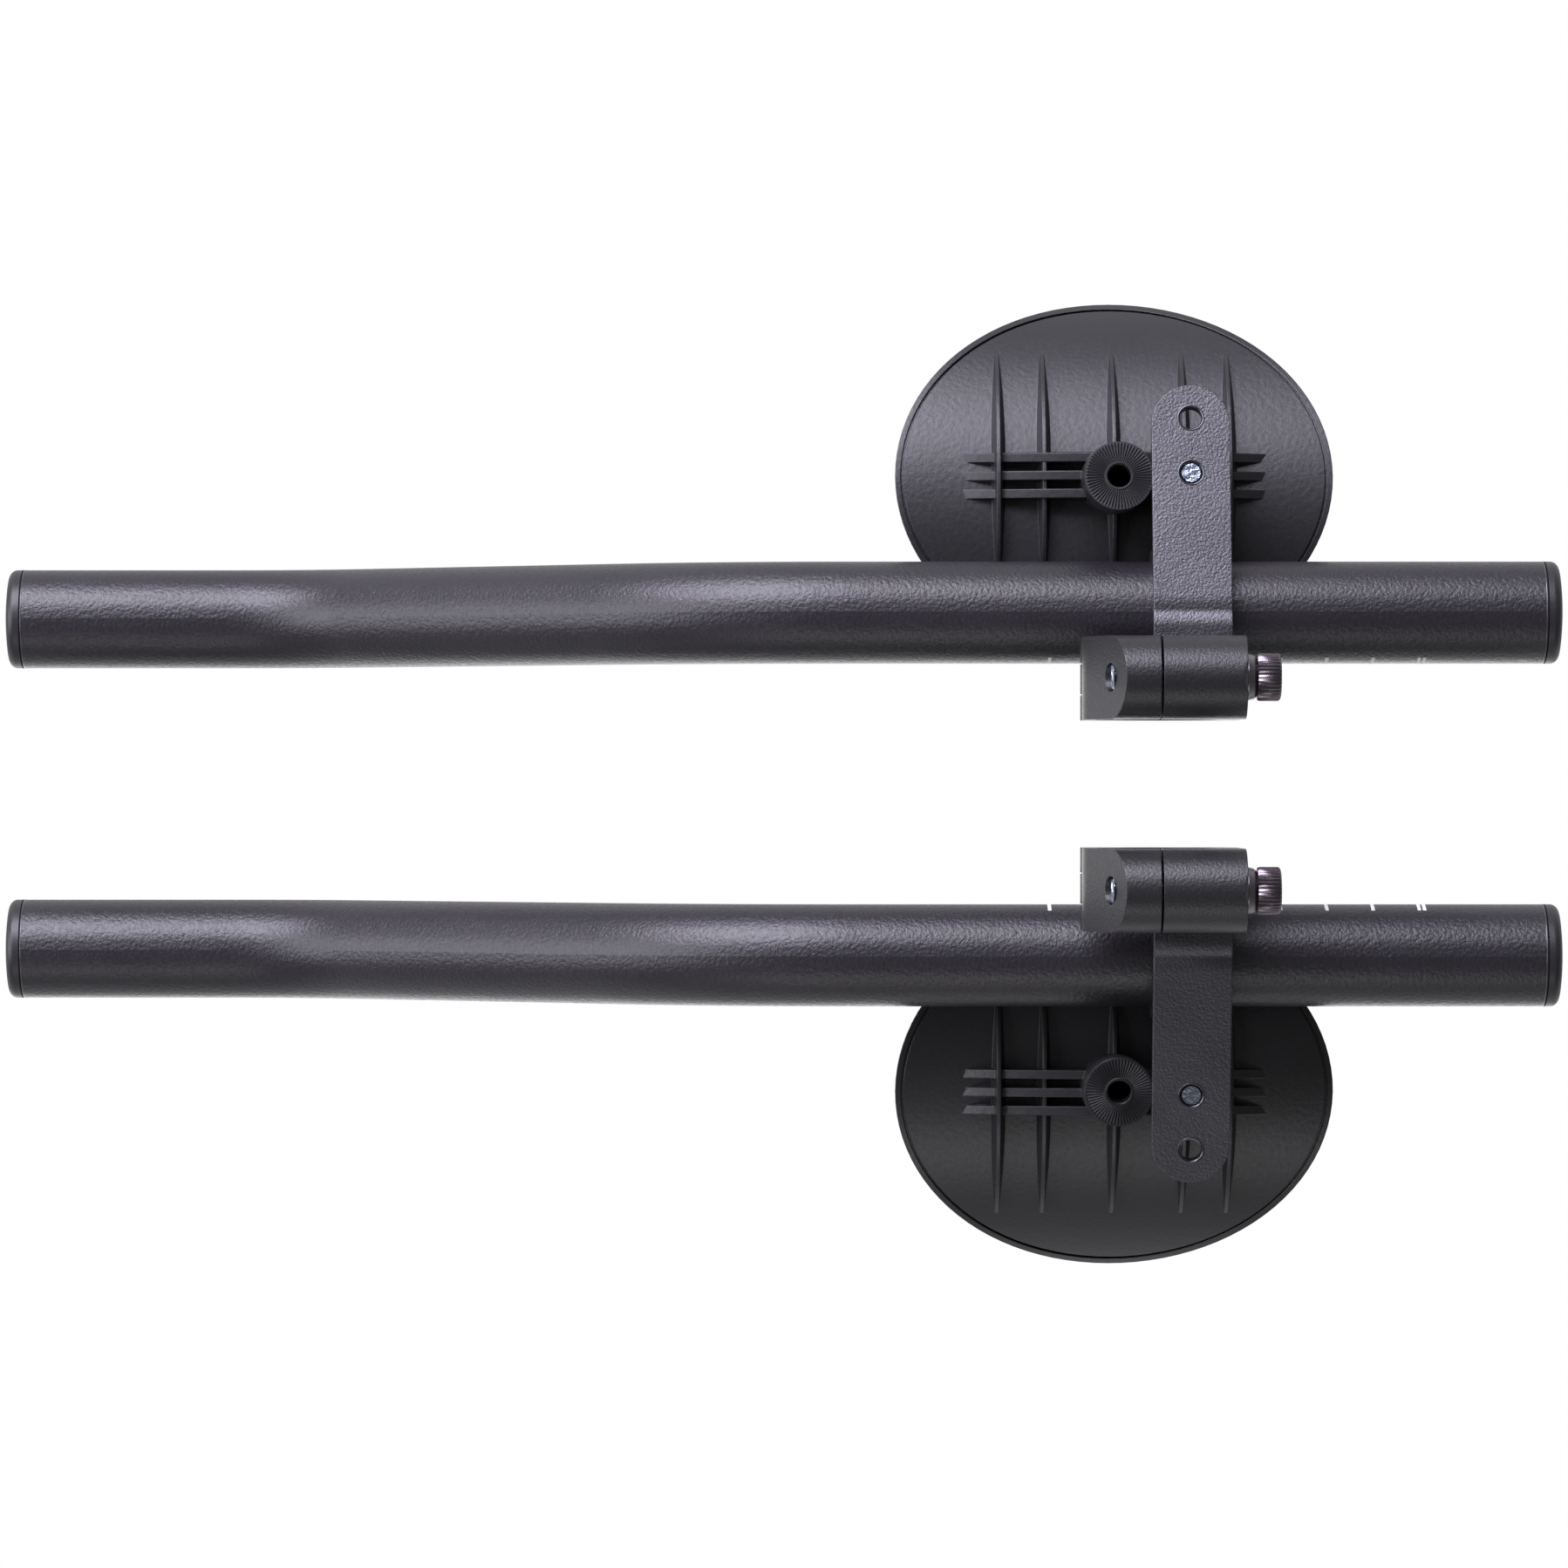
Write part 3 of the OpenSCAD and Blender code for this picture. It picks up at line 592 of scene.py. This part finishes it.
# %% Camera
VIEW_DISTANCE = 1.5
LENS = 158.6
VIEW_X = 79.1 * MM
camera_data = bpy.data.cameras.new("camera")
camera_data.lens = LENS
camera_data.sensor_width = 36.0
camera_data.clip_end = 20.0
camera = bpy.data.objects.new("camera", camera_data)
camera.location = (VIEW_X, 0.0, TUBE_Z - VIEW_DISTANCE)
camera.rotation_euler = (0.0, math.pi, 0.0)
bpy.context.scene.collection.objects.link(camera)
bpy.context.scene.camera = camera
print("camera at", [round(v, 3) for v in camera.location])

# %% [markdown]
# One large soft lamp stands to the rider's left and below, which draws the bright line
# along each tube. A second one in front lights the bends, and two weak ones lift the
# far side and the top. Each lamp faces the middle of the part.

# %% Lamps
def soft_lamp(name, place, target, size, power):
    """Rectangular area lamp that faces a target point."""
    data = bpy.data.lights.new(name, "AREA")
    data.shape = "RECTANGLE"
    data.size, data.size_y = size
    data.energy = power
    lamp = bpy.data.objects.new(name, data)
    lamp.location = place
    aim = np.array(target) - np.array(place)
    lamp.rotation_euler = Vector(aim.tolist()).to_track_quat("-Z", "Y").to_euler()
    bpy.context.scene.collection.objects.link(lamp)
    return lamp


MIDDLE = np.array([0.05, 0.0, 0.03])
LAMPS = {
    "key": ((0.49, 1.15, -0.88), (1.2, 1.1), 49.0, (0.87, 0.845, 1.0)),
    "front": ((1.20, 0.10, -0.62), (0.9, 1.1), 14.0, (0.93, 0.91, 1.0)),
    "far_side": ((0.1, -1.1, -0.75), (0.9, 0.5), 2.6, (1.0, 0.97, 1.0)),
    "above": ((0.1, -0.4, 1.4), (1.2, 1.2), 8.0, (1.0, 1.0, 1.0)),
}
for name, (away, size, power, tint) in LAMPS.items():
    lamp = soft_lamp(name, tuple(MIDDLE + away), MIDDLE, size, power)
    lamp.data.color = tint

print("lamps", len(LAMPS))

# %% [markdown]
# A room fills in from all round, brighter above the part than under it, and shows as
# plain white to the camera. A pale floor lies far below. All but the camera see it dim,
# since its reflection would otherwise wash out the black finishes.

# %% World and floor
world = bpy.data.worlds.new("white room")
bpy.context.scene.world = world
world.use_nodes = True
nodes, links = world.node_tree.nodes, world.node_tree.links
nodes.clear()
out = add_node(nodes, "OutputWorld")
room = add_node(nodes, "Background", {"Color": (0.96, 0.95, 1.0, 1.0)})
seen = add_node(nodes, "Background", {"Color": (1.0, 1.0, 1.0, 1.0), "Strength": 1.0})
place = add_node(nodes, "TexCoord")
split = add_node(nodes, "SeparateXYZ")
ramp = add_node(nodes, "MapRange", {"From Min": -0.35, "From Max": 0.35, "To Min": 0.15, "To Max": 0.85})
path = add_node(nodes, "LightPath")
mix = add_node(nodes, "MixShader")
links.new(place.outputs["Generated"], split.inputs["Vector"])
links.new(split.outputs["Z"], ramp.inputs["Value"])
links.new(ramp.outputs["Result"], room.inputs["Strength"])
links.new(path.outputs["Is Camera Ray"], mix.inputs["Fac"])
links.new(room.outputs["Background"], mix.inputs[1])
links.new(seen.outputs["Background"], mix.inputs[2])
links.new(mix.outputs["Shader"], out.inputs["Surface"])

FLOOR_HALF, FLOOR_Z = 6.0, -2.6
corners = [(x * FLOOR_HALF, y * FLOOR_HALF, FLOOR_Z) for x, y in ((-1, -1), (1, -1), (1, 1), (-1, 1))]
floor_mesh = bpy.data.meshes.new("floor")
floor_mesh.from_pydata(corners, [], [(0, 1, 2, 3)])
floor = bpy.data.objects.new("floor", floor_mesh)
bpy.context.scene.collection.objects.link(floor)
floor_paint, nodes, links, pale = new_material("floor_paint")
pale.inputs["Base Color"].default_value = (0.85, 0.85, 0.85, 1.0)
pale.inputs["Roughness"].default_value = 0.8
dim = add_node(nodes, "BsdfDiffuse", {"Color": (0.15, 0.15, 0.15, 1.0)})
seen_floor = add_node(nodes, "LightPath")
either = add_node(nodes, "MixShader")
links.new(seen_floor.outputs["Is Camera Ray"], either.inputs["Fac"])
links.new(dim.outputs["BSDF"], either.inputs[1])
links.new(pale.outputs["BSDF"], either.inputs[2])
links.new(either.outputs["Shader"], nodes["Material Output"].inputs["Surface"])
floor.data.materials.append(floor_paint)
bpy.context.scene.view_settings.view_transform = "Standard"
print("floor at", FLOOR_Z)
